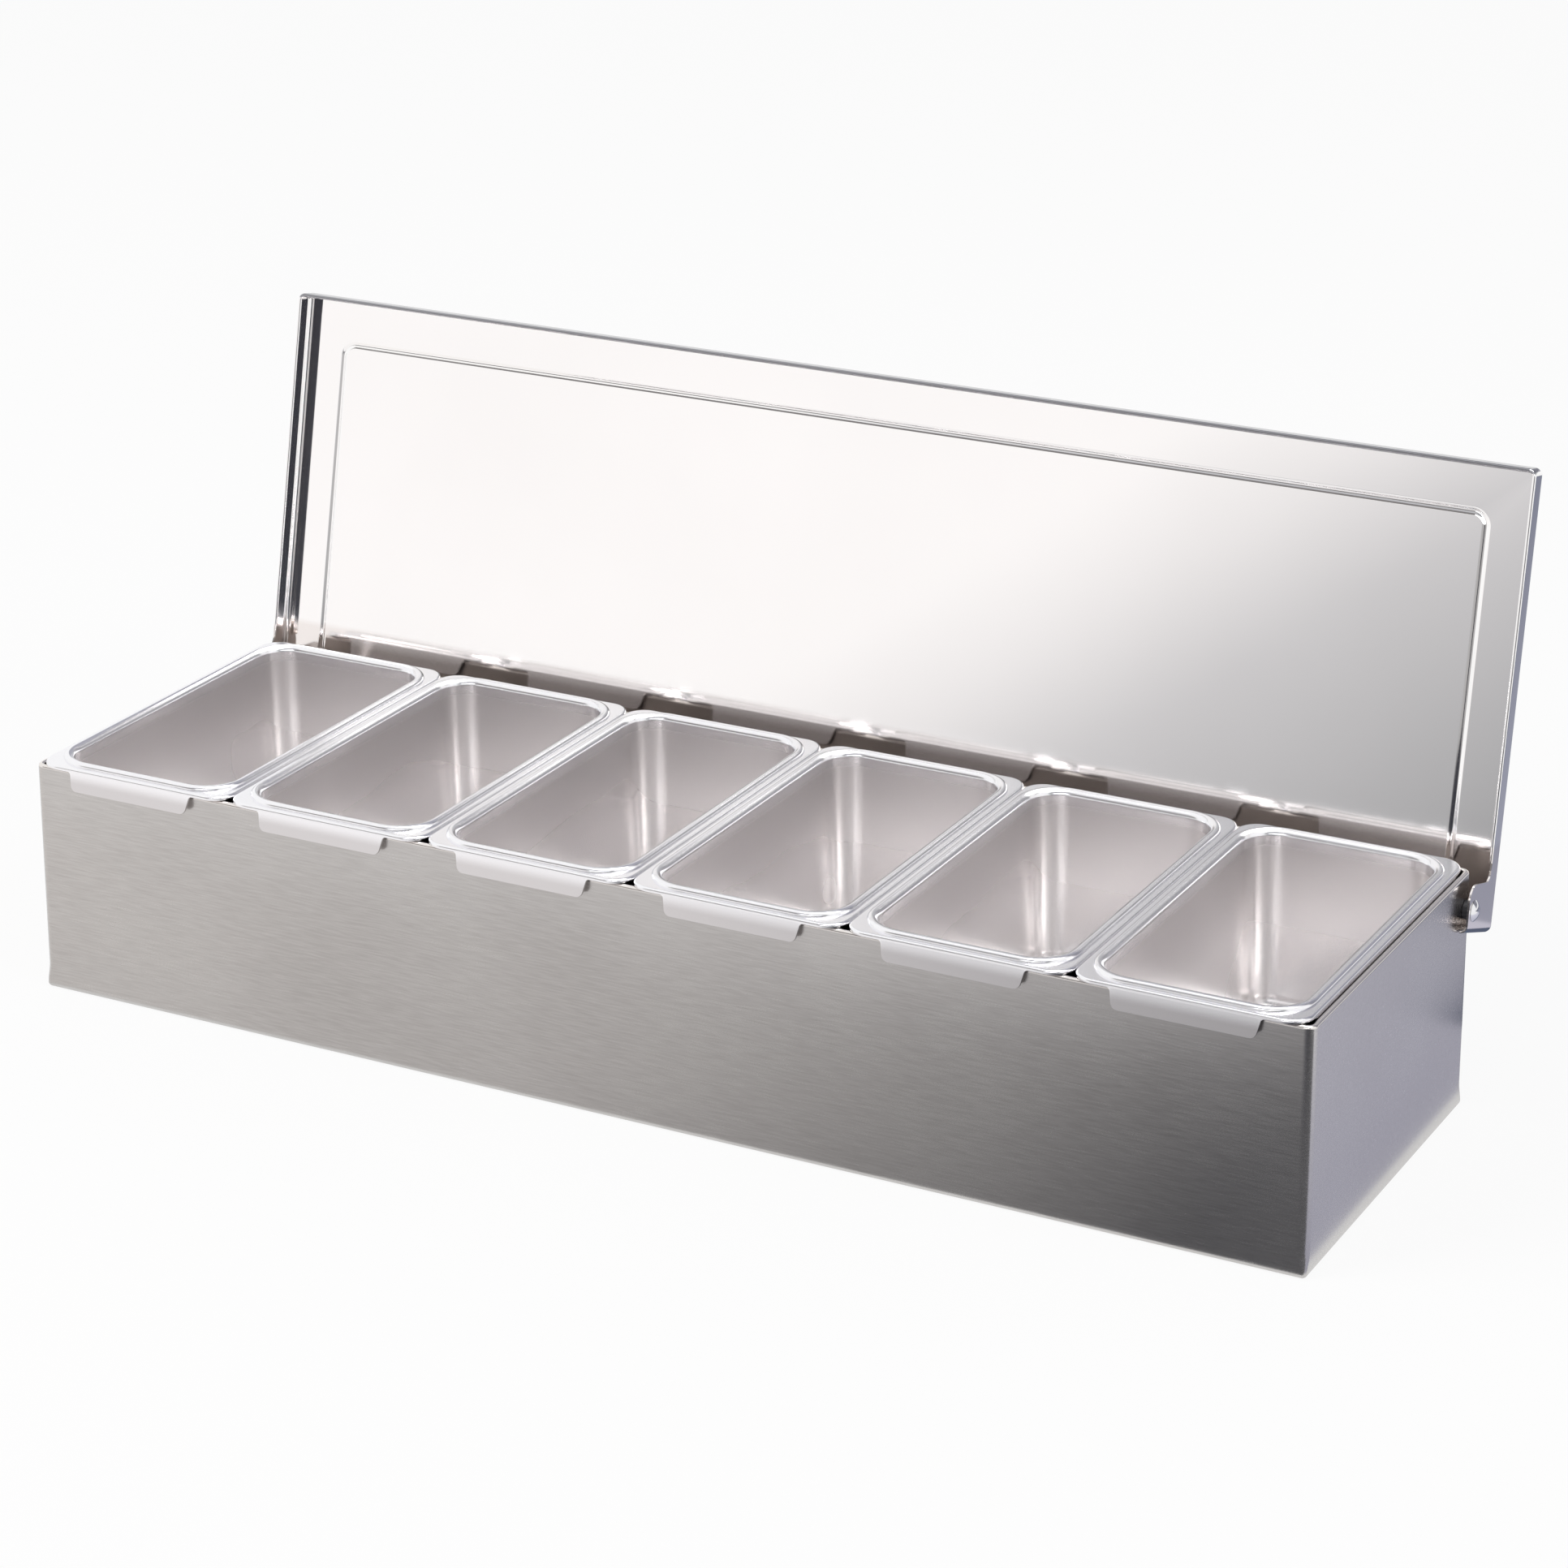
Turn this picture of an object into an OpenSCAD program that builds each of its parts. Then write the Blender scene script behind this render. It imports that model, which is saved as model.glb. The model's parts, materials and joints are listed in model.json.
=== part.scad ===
// Condiment caddy: a folded sheet-steel box, six lift-out pans that hang side by side
// on its front and rear walls, and one long tray lid riveted to the box's ends.
// Millimetres. The origin is the middle of the box's underside, the front faces -Y,
// and the lid is drawn open, as it stands in use.

/* [Box] */
// Depth of the box over its front and rear walls
box_d = 175; // [150:1:200]
// Height of the box walls
box_h = 104.5; // [95:0.5:130]
// Sheet thickness of the box
box_t = 0.8; // [0.6:0.1:1.2]
// Outside radius of the box's upright corners
box_corner_r = 4; // [3:0.5:4]
// Outside radius of the bend between walls and bottom
box_bottom_r = 2; // [1.5:0.25:2.5]
// Thickness of the closed hem along the top of the walls
hem_t = 2; // [1.6:0.1:2.6]
// Height of that hem
hem_h = 6; // [4:0.5:8]

/* [Pans] */
// Width of a pan over its rim
pan_w = 97.1; // [80:0.1:130]
// Gap between the rims of neighbouring pans
pan_gap = 0.3; // [0.2:0.1:1]
// Gap between the outer pans' rims and the hems of the box's ends
end_gap = 0.95; // [0.5:0.05:3]
// Overhang of the rims past the front and rear walls
rim_overhang = 2; // [1.5:0.1:3]
// Width of the rim from its outer face to the opening
rim_w = 6.5; // [6:0.1:8]
// Radius of the rim's outer corners, seen from above
rim_corner_r = 10; // [6:0.5:14]
// Depth of a pan from its bead's top to its underside
pan_depth = 80; // [40:1:92]
// Sheet thickness of a pan
pan_t = 0.9; // [0.7:0.1:1]
// Radius of the opening's corners, seen from above
opening_corner_r = 15; // [13:0.5:20]
// Radius between a pan's walls and bottom, measured inside
pan_floor_r = 8; // [4:0.5:9]
// Slope of a pan's walls from upright
pan_draft = 3; // [1:0.25:3.5]
// Outside radius of the half-round bead that runs round the opening
bead_r = 1.75; // [1.4:0.05:2.2]
// Height of the bead above the flat of the rim
bead_h = 1.7; // [1:0.1:2.5]
// Radius of the bend from the flat of the rim into its lip
lip_bend_r = 1.2; // [1.1:0.1:1.6]
// Drop of the lip below the flat of the rim
lip_drop = 1.7; // [1.7:0.1:5]
// Gap between the lips and the hems that they rest on
seat_gap = 0.3; // [0.2:0.05:0.5]

/* [Tabs] */
// Width of a tab where it leaves the lip
tab_w = 62; // [40:1:70]
// Width of a tab at its free edge
tab_foot_w = 58.7; // [36:0.1:70]
// Length of a tab from the lip to its free edge
tab_l = 8; // [5:0.5:12]
// Lean of a tab outwards from upright
tab_flare = 14; // [0:1:16]
// Radius of a tab's free corners
tab_corner_r = 3; // [1:0.25:3.5]
// Radius between a tab and the lip
tab_root_r = 1.5; // [0.5:0.25:2]

/* [Lid] */
// Sheet thickness of the lid
lid_t = 0.8; // [0.6:0.1:1.2]
// Gap between the box's ends and the lid's ears
lid_side_gap = 3.2; // [2.8:0.1:4]
// Reach of the closed lid past the box's front wall
lid_front_reach = 12.1; // [8:0.1:20]
// Reach of the closed lid past the box's rear wall
lid_rear_reach = 5.9; // [5:0.1:8]
// Height of the closed lid's top above the box walls
lid_rise = 12.5; // [10:0.5:16]
// Depth of the lid's front and end flanges
lid_flange_h = 10.5; // [9:0.5:12]
// Depth of the lid's rear flange, whose edge stops against the rear wall
lid_stop_h = 16.8; // [15:0.1:17.5]
// Outside radius of the lid's bends
lid_bend_r = 2.8; // [2:0.1:3]
// Outside radius of the lid's corners, seen from above
lid_corner_r = 3.2; // [3.2:0.1:6]
// Height of the closed hem folded in along the lid's free edge
lid_hem_h = 4.2; // [3:0.1:5]
// Distance of the raised frame line from the lid's edges
frame_inset = 21.4; // [16:0.2:30]
// Width of the raised frame line
frame_w = 4; // [3:0.25:6]
// Height of the raised frame line
frame_rise = 0.5; // [0.3:0.1:0.6]
// Corner radius of the raised frame line, at its middle
frame_r = 6; // [4:0.5:10]
// How far past upright the lid leans when it is open
lid_lean = 11.4; // [8:0.1:11.5]

/* [Hinge] */
// Distance of the hinge line in front of the rear wall
hinge_inset = 7.5; // [7.5:0.1:9]
// Distance of the hinge line below the top of the walls
hinge_drop = 15; // [14:0.1:18]
// Radius of the rivet's shank
rivet_r = 2.5; // [2:0.1:3]
// Radial clearance of the shank in the lid's ear
rivet_fit = 0.08; // [0.03:0.01:0.1]
// Radius of the rivet's round head
rivet_head_r = 4.5; // [3.8:0.1:5]
// Height of the rivet's round head
rivet_head_h = 2; // [1.4:0.1:2.4]
// Radius of the rivet's flat tail inside the box
rivet_tail_r = 3.5; // [3:0.1:3.5]
// Thickness of that tail
rivet_tail_h = 1.2; // [0.8:0.1:1.6]
// Radius of the spacer ring between the box and the ear
spacer_r = 4; // [3.4:0.1:4.2]
// Play of the ear between the spacer ring and the rivet's head
ear_play = 0.2; // [0.1:0.05:0.3]
// Length of the ear along the lid, forward of the hinge line
ear_front = 10.7; // [9:0.1:13]
// Length of the ear below the hinge line, with the lid closed
ear_drop = 7.2; // [6.5:0.1:9]
// Length of the ear behind the hinge line, at its lower end
ear_rear = 8.3; // [7.8:0.1:9]
// Distance from the ear's front edge to the end of the flange's hem
ear_hem_gap = 4; // [3:0.5:8]
// Radius of the ear's rear lower corner
ear_foot_r = 1; // [0.5:0.1:1.5]

/* [Hidden] */
pan_count = 6;
$fn = 96;
touch = 0.02;

// Box
pan_pitch = pan_w + pan_gap;
box_l = pan_count * pan_pitch - pan_gap + 2 * (end_gap + hem_t);
box_edge_r = hem_t / 2;

// Pans: the rim follows one set of corner centres, the tub another
lip_z = box_h + seat_gap;
flat_z = lip_z + lip_drop;
rim_top = flat_z + bead_h;
rim_d = box_d + 2 * rim_overhang;
rim_cx = pan_w / 2 - rim_corner_r;
rim_cy = rim_d / 2 - rim_corner_r;
open_x = pan_w / 2 - rim_w;
open_y = rim_d / 2 - rim_w;
tub_cx = open_x - opening_corner_r;
tub_cy = open_y - opening_corner_r;
pan_bottom = rim_top - pan_depth;
bead_z = rim_top - bead_r;
bead_c = opening_corner_r + bead_r;
floor_z = pan_bottom + pan_t + pan_floor_r;
wall_r_top = bead_c - bead_r / cos(pan_draft);
floor_r_c = wall_r_top - (bead_z - floor_z) * tan(pan_draft) - pan_floor_r / cos(pan_draft);

// Lid, drawn closed and level about the hinge line, then swung open
hinge_y = box_d / 2 - hinge_inset;
hinge_z = box_h - hinge_drop;
lid_half_l = box_l / 2 + lid_side_gap + lid_t;
lid_front = -box_d / 2 - lid_front_reach - hinge_y;
lid_rear = box_d / 2 + lid_rear_reach - hinge_y;
lid_top = hinge_drop + lid_rise;
lid_edge = lid_top - lid_flange_h;
lid_mid = (lid_front + lid_rear) / 2;
lid_half_d = (lid_rear - lid_front) / 2;
lid_cx = lid_half_l - lid_corner_r;
lid_cy = lid_half_d - lid_corner_r;
lid_open = 90 + lid_lean;

// Ear: its rear edge slants from the lid's rear corner to below the hinge line
ear_foot = [ear_rear, ear_foot_r - ear_drop];
ear_heel = [lid_rear, lid_top - lid_bend_r];
ear_slant = atan2(ear_heel[0] - ear_foot[0], ear_heel[1] - ear_foot[1]);
ear_edge_l = norm(ear_heel - ear_foot);
ear_in = lid_bend_r * [cos(ear_slant), -sin(ear_slant)];

// A ring sector with true arcs, for a bend in sheet metal
module bend(centre, outer_r, t, from, to) {
    mid = (from + to) / 2;
    far = 2 * outer_r;
    translate(centre)
        intersection() {
            difference() {
                circle(r = outer_r);
                circle(r = outer_r - t);
            }
            polygon([[0, 0], far * [cos(from), sin(from)], far * [cos(mid), sin(mid)],
                     far * [cos(to), sin(to)]]);
        }
}

// A rectangle between two corners
module strip(low, high) {
    translate(low)
        square(high - low);
}

// A rectangle with round corners about the origin
module round_rect(half_x, half_y, r) {
    square([2 * half_x, 2 * (half_y - r)], center = true);
    square([2 * (half_x - r), 2 * half_y], center = true);
    for (x = [-1, 1], y = [-1, 1])
        translate([x * (half_x - r), y * (half_y - r)])
            circle(r = r);
}

// A section carried once round a rectangle whose corner centres are (cx, cy).
// The section's x is the distance out from those centres and its y is the height.
module carry_round(cx, cy) {
    for (turn = [0:3]) {
        a = turn % 2 == 0 ? cx : cy;
        b = turn % 2 == 0 ? cy : cx;
        rotate([0, 0, 90 * turn])
            translate([a, b, 0]) {
                rotate_extrude(angle = 90)
                    children();
                rotate([90, 0, 0])
                    linear_extrude(2 * b)
                        children();
            }
    }
}

// Points of a path with each corner rounded: entries are [x, y, radius]
function rounded(path, steps = 8) = [
    for (i = [0:len(path) - 1])
        let (
            p = [path[i][0], path[i][1]],
            before = path[(i + len(path) - 1) % len(path)],
            after = path[(i + 1) % len(path)],
            u = unit([before[0], before[1]] - p),
            v = unit([after[0], after[1]] - p),
            half = acos(u * v) / 2,
            r = path[i][2],
            centre = p + unit(u + v) * r / sin(half),
            start = p + u * r / tan(half) - centre,
            side = sign(u[0] * v[1] - u[1] * v[0]),
            sweep = side * (180 - 2 * half)
        )
        each r == 0 ? [p] : [for (k = [0:steps]) centre + turned(start, -sweep * k / steps)]
];
function unit(v) = v / norm(v);
function turned(v, a) = [v[0] * cos(a) - v[1] * sin(a), v[0] * sin(a) + v[1] * cos(a)];

// ---------------------------------------------------------------- box
module box_section() {
    strip([box_corner_r - box_t, box_bottom_r], [box_corner_r, box_h - box_edge_r]);
    strip([box_corner_r - hem_t, box_h - hem_h], [box_corner_r, box_h - box_edge_r]);
    translate([box_corner_r - box_edge_r, box_h - box_edge_r])
        circle(r = box_edge_r);
    bend([box_corner_r - box_bottom_r, box_bottom_r], box_bottom_r, box_t, -90, 0);
    strip([0, 0], [box_corner_r - box_bottom_r, box_t]);
}

module box() {
    color("lightgray")
        difference() {
            union() {
                carry_round(box_l / 2 - box_corner_r, box_d / 2 - box_corner_r)
                    box_section();
                linear_extrude(box_t)
                    square([box_l - 2 * box_corner_r, box_d - 2 * box_corner_r], center = true);
            }
            translate([0, hinge_y, hinge_z])
                rotate([0, 90, 0])
                    cylinder(r = rivet_r, h = box_l + 1, center = true);
        }
}

// ---------------------------------------------------------------- pans
// Wall of the tub: the bead round the opening, the sloping wall and the round into the floor
module tub_section() {
    slope_in = [cos(pan_draft), -sin(pan_draft)];
    top_c = [bead_c, bead_z];
    low_c = [floor_r_c, floor_z];
    strip([bead_c + bead_r - pan_t, flat_z - pan_t], [bead_c + bead_r, bead_z]);
    bend(top_c, bead_r, pan_t, 0, 180 - pan_draft);
    bend(low_c, pan_floor_r + pan_t, pan_t, -90, -pan_draft);
    polygon([top_c - bead_r * slope_in,
             top_c - (bead_r - pan_t) * slope_in,
             low_c + (pan_floor_r + pan_t) * slope_in,
             low_c + pan_floor_r * slope_in]);
}

// Outer edge of the rim: the bend and the lip that hangs outside the wall
module lip_section() {
    bend([rim_corner_r - lip_bend_r, flat_z - lip_bend_r], lip_bend_r, pan_t, 0, 90);
    strip([rim_corner_r - pan_t, lip_z], [rim_corner_r, flat_z - lip_bend_r]);
}

// Flat ring between the bead and the lip's bend
module rim_flat() {
    inner = 2 * bead_r - pan_t / 2;
    difference() {
        round_rect(pan_w / 2 - lip_bend_r, rim_d / 2 - lip_bend_r, rim_corner_r - lip_bend_r);
        round_rect(open_x + inner, open_y + inner, opening_corner_r + inner);
    }
}

// Tab that hangs from the middle of the lip and leans outwards from the lip's lower edge
module tab() {
    half = tab_w / 2;
    foot = tab_foot_w / 2;
    root = tab_root_r * 3;
    lap = pan_t * sin(tab_flare) + touch;
    translate([0, -rim_d / 2, lip_z])
        rotate([90 - tab_flare, 0, 0])
            translate([0, 0, -pan_t])
                linear_extrude(pan_t)
                    polygon(rounded([[half + root, lap, 0], [half + root, 0, 0],
                                     [half, 0, tab_root_r], [foot, -tab_l, tab_corner_r],
                                     [-foot, -tab_l, tab_corner_r], [-half, 0, tab_root_r],
                                     [-half - root, 0, 0], [-half - root, lap, 0]]));
}

module pan(number) {
    color("whitesmoke")
        translate([(number - (pan_count + 1) / 2) * pan_pitch, 0, 0]) {
            carry_round(tub_cx, tub_cy)
                tub_section();
            carry_round(rim_cx, rim_cy)
                lip_section();
            translate([0, 0, flat_z - pan_t])
                linear_extrude(pan_t)
                    rim_flat();
            translate([0, 0, pan_bottom])
                linear_extrude(pan_t)
                    round_rect(tub_cx + floor_r_c, tub_cy + floor_r_c, floor_r_c);
            tab();
            rotate([0, 0, 180])
                tab();
        }
}

// ---------------------------------------------------------------- lid
// Section of the lid's edge: top, bend and flange
module lid_section() {
    strip([0, lid_top - lid_t], [lid_corner_r - lid_bend_r, lid_top]);
    bend([lid_corner_r - lid_bend_r, lid_top - lid_bend_r], lid_bend_r, lid_t, 0, 90);
    strip([lid_corner_r - lid_t, lid_edge + lid_t], [lid_corner_r, lid_top - lid_bend_r]);
}

// Closed hem folded in along the free edge, with a round edge
module hem_section() {
    strip([lid_corner_r - 2 * lid_t, lid_edge + lid_t],
          [lid_corner_r, lid_edge + lid_hem_h]);
    translate([lid_corner_r - lid_t, lid_edge + lid_t])
        circle(r = lid_t);
}

// Half of the hem, round the +X front corner and along that end as far as the ear
module half_hem() {
    hem_back = -ear_front - ear_hem_gap;
    corner_y = lid_mid - lid_cy;
    translate([lid_cx, corner_y, 0])
        rotate([0, 0, -90]) {
            rotate_extrude(angle = 90)
                hem_section();
            rotate([90, 0, 0])
                linear_extrude(lid_cx + touch)
                    hem_section();
        }
    translate([lid_cx, hem_back, 0])
        rotate([90, 0, 0])
            linear_extrude(hem_back - corner_y)
                hem_section();
}

// One ear, for the +X end: a plate that widens the flange, and a bend along its rear edge
module ear() {
    foot = ear_foot - ear_in;
    heel = ear_heel - ear_in;
    root = -ear_front - 2 * ear_hem_gap;
    low = lid_edge + lid_t;
    difference() {
        translate([lid_half_l - lid_t, 0, 0])
            rotate([90, 0, 90])
                linear_extrude(lid_t)
                    polygon(rounded([[root, low + touch, 0], [root, low, 0],
                                     [-ear_front, low, lid_bend_r],
                                     [-ear_front, -ear_drop, ear_drop],
                                     [foot[0], -ear_drop, ear_foot_r],
                                     [heel[0], lid_top - lid_bend_r, 0]]));
        rotate([0, 90, 0])
            cylinder(r = rivet_r + rivet_fit, h = 2 * lid_half_l);
    }
    translate([0, ear_foot[0], ear_foot[1]])
        rotate([-ear_slant, 0, 0])
            translate([lid_half_l - lid_bend_r, -lid_bend_r, 0])
                linear_extrude(ear_edge_l)
                    bend([0, 0], lid_bend_r, lid_t, 0, 90);
}

module frame_line(grow) {
    frame_hx = lid_half_l - frame_inset + grow;
    frame_hy = lid_half_d - frame_inset + grow;
    round_rect(frame_hx, frame_hy, frame_r + grow);
}

module lid_closed() {
    difference() {
        union() {
            translate([0, lid_mid, 0]) {
                carry_round(lid_cx, lid_cy)
                    lid_section();
                translate([0, 0, lid_top - lid_t])
                    linear_extrude(lid_t)
                        square([2 * lid_cx, 2 * lid_cy], center = true);
                translate([0, 0, lid_top - lid_t])
                    linear_extrude(lid_t + frame_rise)
                        difference() {
                            frame_line(frame_w / 2);
                            frame_line(-frame_w / 2);
                        }
            }
            translate([-lid_cx, lid_rear - lid_t, lid_top - lid_stop_h])
                cube([2 * lid_cx, lid_t, lid_stop_h - lid_bend_r]);
            half_hem();
            ear();
            mirror([1, 0, 0]) {
                half_hem();
                ear();
            }
        }
        translate([0, lid_mid, lid_top - lid_t - 1])
            linear_extrude(1 + frame_rise)
                difference() {
                    frame_line(frame_w / 2 - lid_t / 2);
                    frame_line(-frame_w / 2 + lid_t / 2);
                }
    }
}

module lid() {
    color("silver")
        translate([0, hinge_y, hinge_z])
            rotate([-lid_open, 0, 0])
                lid_closed();
}

// ---------------------------------------------------------------- hinge
// Rivet for the +X end: flat tail inside the box, shank, and a round head outside the ear
module hinge_rivet() {
    wall_in = box_l / 2 - box_t;
    head_x = lid_half_l + ear_play / 2;
    dome_r = (rivet_head_r * rivet_head_r + rivet_head_h * rivet_head_h) / (2 * rivet_head_h);
    color("gainsboro")
        translate([0, hinge_y, hinge_z])
            rotate([0, 90, 0])
                rotate_extrude() {
                    strip([0, wall_in - rivet_tail_h], [rivet_tail_r, wall_in]);
                    strip([0, wall_in - touch], [rivet_r, head_x + touch]);
                    intersection() {
                        translate([0, head_x + rivet_head_h - dome_r])
                            circle(r = dome_r);
                        strip([0, head_x], [rivet_head_r, head_x + rivet_head_h]);
                    }
                }
}

// Nylon ring that holds the +X ear off the box
module hinge_spacer() {
    color("dimgray")
        translate([box_l / 2, hinge_y, hinge_z])
            rotate([0, 90, 0])
                difference() {
                    cylinder(r = spacer_r, h = lid_side_gap - ear_play / 2);
                    translate([0, 0, -1])
                        cylinder(r = rivet_r + rivet_fit, h = lid_side_gap + 2);
                }
}

box();
lid();
pan(1);  // pan_1
pan(2);  // pan_2
pan(3);  // pan_3
pan(4);  // pan_4
pan(5);  // pan_5
pan(6);  // pan_6
mirror([1, 0, 0]) hinge_rivet();  // hinge_rivet_left
hinge_rivet();  // hinge_rivet_right
mirror([1, 0, 0]) hinge_spacer();  // hinge_spacer_left
hinge_spacer();  // hinge_spacer_right
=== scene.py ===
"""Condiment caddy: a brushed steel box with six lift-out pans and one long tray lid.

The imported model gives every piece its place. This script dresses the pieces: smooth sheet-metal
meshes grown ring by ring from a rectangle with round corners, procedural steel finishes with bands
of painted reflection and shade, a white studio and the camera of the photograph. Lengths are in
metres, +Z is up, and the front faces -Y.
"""

from __future__ import annotations

import json
import logging
import math
from collections.abc import Sequence
from dataclasses import dataclass
from enum import Enum

import bmesh
import bpy
from mathutils import Matrix, Vector

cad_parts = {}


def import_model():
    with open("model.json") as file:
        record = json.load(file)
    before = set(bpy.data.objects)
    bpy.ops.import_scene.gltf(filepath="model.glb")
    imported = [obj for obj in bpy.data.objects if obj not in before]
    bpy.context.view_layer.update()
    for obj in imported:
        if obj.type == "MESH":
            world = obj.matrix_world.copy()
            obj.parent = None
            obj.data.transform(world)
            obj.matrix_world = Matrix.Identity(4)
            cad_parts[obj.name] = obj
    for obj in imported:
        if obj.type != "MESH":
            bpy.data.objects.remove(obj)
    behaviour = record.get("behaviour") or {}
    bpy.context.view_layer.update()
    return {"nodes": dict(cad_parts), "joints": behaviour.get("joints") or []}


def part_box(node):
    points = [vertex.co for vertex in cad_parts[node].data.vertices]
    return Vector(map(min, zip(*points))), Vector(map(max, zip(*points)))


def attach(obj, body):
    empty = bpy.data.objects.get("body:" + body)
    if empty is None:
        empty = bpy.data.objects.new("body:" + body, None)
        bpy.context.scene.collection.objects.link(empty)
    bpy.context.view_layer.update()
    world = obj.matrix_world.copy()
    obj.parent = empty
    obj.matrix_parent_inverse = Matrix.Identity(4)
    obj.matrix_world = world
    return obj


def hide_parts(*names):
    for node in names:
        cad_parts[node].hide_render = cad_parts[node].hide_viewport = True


LOG = logging.getLogger("caddy")
MM = 0.001
TINY = 1e-6  # two points closer than this are one
SLACK = 0.01 * MM  # how far off a line a vertex may lie and still be on it
EDGE_ROUND = 0.2 * MM  # rounding of a sheet's cut edges
SHEET_SHARP_DEG = 50.0  # angle past which an edge of a sheet shows as sharp
TURNED_STEPS = 48  # straight pieces round a turned part
GLOSSY_BOUNCES = 6  # reflections between a pan's walls, which light its inside
PHOTO_PX = 1932.0

Section = list[tuple[float, float]]
Colour = tuple[float, float, float]
Box = tuple[Vector, Vector]


# ------------------------------------------------------------------ outlines
def arc(centre: tuple[float, float], radius: float, start: float, end: float,
        steps: int) -> Section:
    """Points of a round stretch of an outline.

    Args:
        centre: Centre of the arc.
        radius: Radius of the arc.
        start: Angle of the first point, in degrees.
        end: Angle of the last point, in degrees.
        steps: Number of straight pieces.

    Returns:
        The points, both ends included.
    """
    points = []
    for step in range(steps + 1):
        angle = math.radians(start + (end - start) * step / steps)
        points.append((centre[0] + radius * math.cos(angle), centre[1] + radius * math.sin(angle)))
    return points


def rounded_path(corners: list[tuple[float, float, float]], steps: int = 6) -> Section:
    """An open outline whose corners are rounded.

    Args:
        corners: The outline's corners as x, y and radius. The ends have no radius.
        steps: Number of straight pieces in each round corner.

    Returns:
        The outline's points.
    """
    points = []
    for index, (x, y, radius) in enumerate(corners):
        here = Vector((x, y))
        if radius == 0:
            points.append((x, y))
            continue
        to_last = (Vector(corners[index - 1][:2]) - here).normalized()
        to_next = (Vector(corners[index + 1][:2]) - here).normalized()
        half = to_last.angle(to_next) / 2
        centre = here + (to_last + to_next).normalized() * radius / math.sin(half)
        start = here + to_last * radius / math.tan(half) - centre
        end = here + to_next * radius / math.tan(half) - centre
        turn = start.angle_signed(end)
        for step in range(steps + 1):
            spoke = start.copy()
            spoke.rotate(Matrix.Rotation(-turn * step / steps, 2))
            points.append(tuple(centre + spoke))
    return points


# ------------------------------------------------------------------ sheet metal
@dataclass
class Ring:
    """One ring of a sheet-metal mesh: where its corner centres are, its radius and its height."""

    half_x: float
    half_y: float
    radius: float
    height: float


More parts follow.
